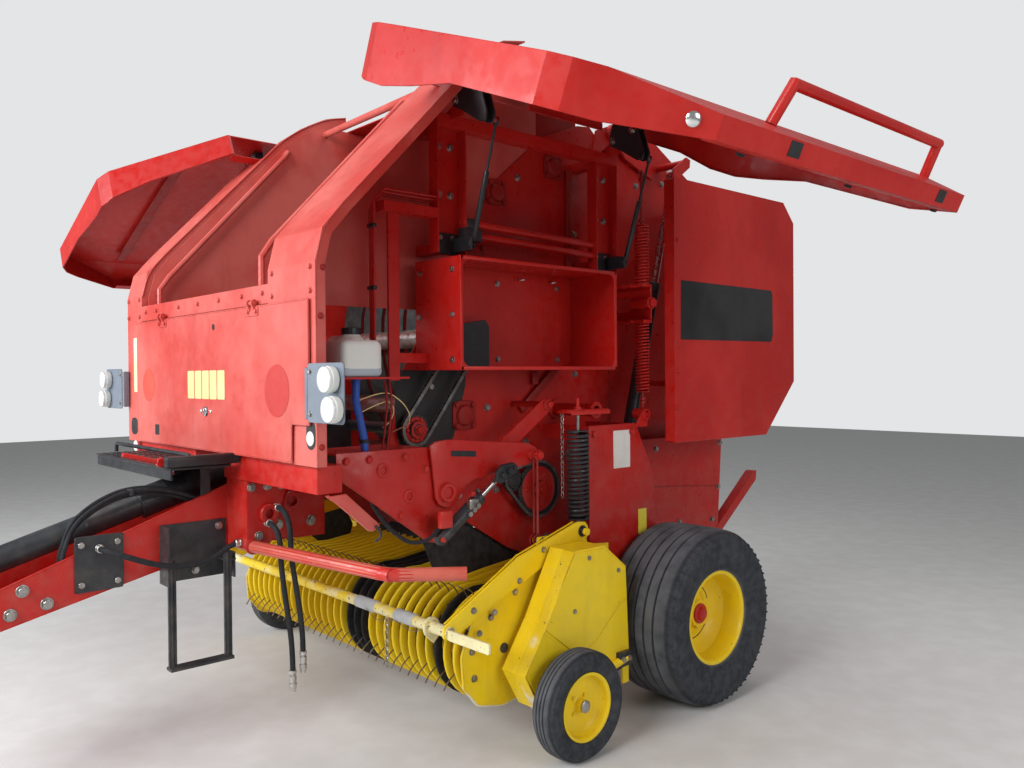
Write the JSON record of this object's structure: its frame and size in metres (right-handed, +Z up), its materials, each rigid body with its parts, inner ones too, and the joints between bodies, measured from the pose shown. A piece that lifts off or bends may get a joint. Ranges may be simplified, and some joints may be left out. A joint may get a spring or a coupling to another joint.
{
  "type": "round baler",
  "caption": "Towed round baler with raised gull-wing side doors, twine boxes, belt chamber, swing-up tailgate and a wide tined pickup with gauge wheels on a long drawbar.",
  "frame": {"origin": "centre of the overall box at ground level", "axes": "+X the machine's left side, -Y forward towards the drawbar, +Z up"},
  "size_m": [4.7796, 4.3198, 3.055],
  "materials": {
    "red_paint": "worn gloss",
    "yellow_paint": "worn gloss",
    "black_paint": "satin",
    "grey_paint": "satin",
    "steel": "used",
    "tyre": "matt",
    "rubber": "matt",
    "white_plastic": "matt"
  },
  "bodies": {
    "chassis": {"axle_beam": "red_paint", "side_walls": "red_paint", "front_posts": "red_paint", "roof": "red_paint", "door_frames": "red_paint", "chamber_rollers": "steel", "chamber_belts": "rubber", "drawbar": "red_paint", "driveline_shaft": "black_paint", "gearbox": "black_paint", "platform": "black_paint", "twine_boxes": "red_paint", "oil_tank": "white_plastic", "oil_lines": "red_paint", "lamps": "grey_paint", "chain_drives": "black_paint", "tension_springs": "red_paint", "lift_springs": "black_paint", "side_channels": "red_paint", "hoses": "rubber", "hose_couplers": "steel"},
    "front_panel": {"front_panel": "red_paint"},
    "door_left": {"door_left": "red_paint"},
    "door_right": {"door_right": "red_paint"},
    "strut_barrels_left": {"strut_barrels_left": "black_paint"},
    "strut_rods_left": {"strut_rods_left": "steel"},
    "strut_barrels_right": {"strut_barrels_right": "black_paint"},
    "strut_rods_right": {"strut_rods_right": "steel"},
    "tailgate": {"tailgate_frame": "red_paint", "tailgate_shields": "red_paint", "tailgate_rollers": "steel", "tailgate_belts": "rubber"},
    "gate_barrels": {"gate_barrels": "black_paint"},
    "gate_rods": {"gate_rods": "steel"},
    "pickup": {"pickup_frame": "yellow_paint", "pickup_strippers": "yellow_paint", "pickup_flap": "rubber"},
    "reel": {"pickup_reel": "steel"},
    "windguard": {"windguard": "yellow_paint"},
    "lift_link": {"lift_link": "red_paint"},
    "lift_barrel": {"lift_barrel": "black_paint"},
    "lift_rod": {"lift_rod": "steel"},
    "gauge_wheel_left": {"gauge_tyre_left": "tyre", "gauge_rim_left": "yellow_paint"},
    "gauge_wheel_right": {"gauge_tyre_right": "tyre", "gauge_rim_right": "yellow_paint"},
    "wheel_left": {"tyre_left": "tyre", "rim_left": "yellow_paint"},
    "wheel_right": {"tyre_right": "tyre", "rim_right": "yellow_paint"},
    "jack": {"jack_leg": "black_paint"}
  },
  "joints": [
    {"name": "wheel_left", "type": "hinge", "parent": "chassis", "child": "wheel_left", "pos_m": [1.137, 0.97, 0.41], "axis": [1, 0, 0], "continuous": true},
    {"name": "wheel_right", "type": "hinge", "parent": "chassis", "child": "wheel_right", "pos_m": [-1.137, 0.97, 0.41], "axis": [1, 0, 0], "continuous": true},
    {"name": "pickup_lift", "type": "hinge", "parent": "chassis", "child": "pickup", "pos_m": [0, 0.55, 0.7], "axis": [-1, 0, 0], "range_deg": [0, 12], "deforming": ["lift_springs"]},
    {"name": "pickup_reel", "type": "hinge", "parent": "pickup", "child": "reel", "pos_m": [0, -0.07, 0.42], "axis": [1, 0, 0], "continuous": true},
    {"name": "windguard_lift", "type": "hinge", "parent": "pickup", "child": "windguard", "pos_m": [0, 0.38, 0.85], "axis": [-1, 0, 0], "range_deg": [0, 8]},
    {"name": "gauge_wheel_left", "type": "hinge", "parent": "pickup", "child": "gauge_wheel_left", "pos_m": [1.245, 0.09, 0.22], "axis": [1, 0, 0], "continuous": true},
    {"name": "gauge_wheel_right", "type": "hinge", "parent": "pickup", "child": "gauge_wheel_right", "pos_m": [-1.245, 0.09, 0.22], "axis": [1, 0, 0], "continuous": true},
    {"name": "lift_link_pivot", "type": "hinge", "parent": "chassis", "child": "lift_link", "pos_m": [0, -0.31, 1.08], "axis": [1, 0, 0], "range_deg": [0, 9.6]},
    {"name": "lift_cylinder_pivot", "type": "hinge", "parent": "chassis", "child": "lift_barrel", "pos_m": [0, -0.365, 0.905], "axis": [1, 0, 0], "range_deg": [0, 6.13]},
    {"name": "lift_cylinder_rod", "type": "slide", "parent": "lift_barrel", "child": "lift_rod", "axis": [0, 0.8072, 0.5903], "range_m": [0, 0.01687]},
    {"name": "tailgate_lift", "type": "hinge", "parent": "chassis", "child": "tailgate", "pos_m": [0, 1, 2.8], "axis": [1, 0, 0], "range_deg": [0, 70]},
    {"name": "gate_cylinder_pivot", "type": "hinge", "parent": "chassis", "child": "gate_barrels", "pos_m": [0, 0.9, 1.15], "axis": [1, 0, 0], "range_deg": [0, 3.62]},
    {"name": "gate_cylinder_rod", "type": "slide", "parent": "gate_barrels", "child": "gate_rods", "axis": [0, 0.2659, 0.964], "range_m": [0, 0.40383]},
    {"name": "front_panel_lift", "type": "hinge", "parent": "chassis", "child": "front_panel", "pos_m": [0, -0.936, 1.832], "axis": [-1, 0, 0], "range_deg": [0, 85]},
    {"name": "door_left_swing", "type": "hinge", "parent": "chassis", "child": "door_left", "pos_m": [0.9, 0.26, 2.66], "axis": [0, 1, 0], "range_deg": [0, 66]},
    {"name": "strut_left_pivot", "type": "hinge", "parent": "chassis", "child": "strut_barrels_left", "pos_m": [0.905, 0.26, 2.085], "axis": [0, 1, 0], "range_deg": [-22.91, 0]},
    {"name": "strut_left_rod", "type": "slide", "parent": "strut_barrels_left", "child": "strut_rods_left", "axis": [0.3102, 0, 0.9507], "range_m": [-0.11134, 0]},
    {"name": "door_right_swing", "type": "hinge", "parent": "chassis", "child": "door_right", "pos_m": [-0.9, 0.26, 2.66], "axis": [0, -1, 0], "range_deg": [0, 66]},
    {"name": "strut_right_pivot", "type": "hinge", "parent": "chassis", "child": "strut_barrels_right", "pos_m": [-0.905, 0.26, 2.085], "axis": [0, -1, 0], "range_deg": [-22.91, 0]},
    {"name": "strut_right_rod", "type": "slide", "parent": "strut_barrels_right", "child": "strut_rods_right", "axis": [-0.3102, 0, 0.9507], "range_m": [-0.11134, 0]},
    {"name": "jack_swing", "type": "hinge", "parent": "chassis", "child": "jack", "pos_m": [0.193, -1.9, 0.66], "axis": [1, 0, 0], "range_deg": [0, 90]}
  ],
  "couplings": [
    {"joint": "lift_link_pivot", "follows": "pickup_lift", "ratio": 0.79167},
    {"joint": "lift_cylinder_pivot", "follows": "pickup_lift", "ratio": 0.5054},
    {"joint": "lift_cylinder_rod", "follows": "pickup_lift", "m_per_rad": 0.079761},
    {"joint": "gate_cylinder_pivot", "follows": "tailgate_lift", "ratio": 0.05122},
    {"joint": "gate_cylinder_rod", "follows": "tailgate_lift", "m_per_rad": 0.32726},
    {"joint": "strut_left_pivot", "follows": "door_left_swing", "ratio": -0.34362},
    {"joint": "strut_left_rod", "follows": "door_left_swing", "m_per_rad": -0.095695},
    {"joint": "strut_right_pivot", "follows": "door_right_swing", "ratio": -0.34362},
    {"joint": "strut_right_rod", "follows": "door_right_swing", "m_per_rad": -0.095695}
  ]
}
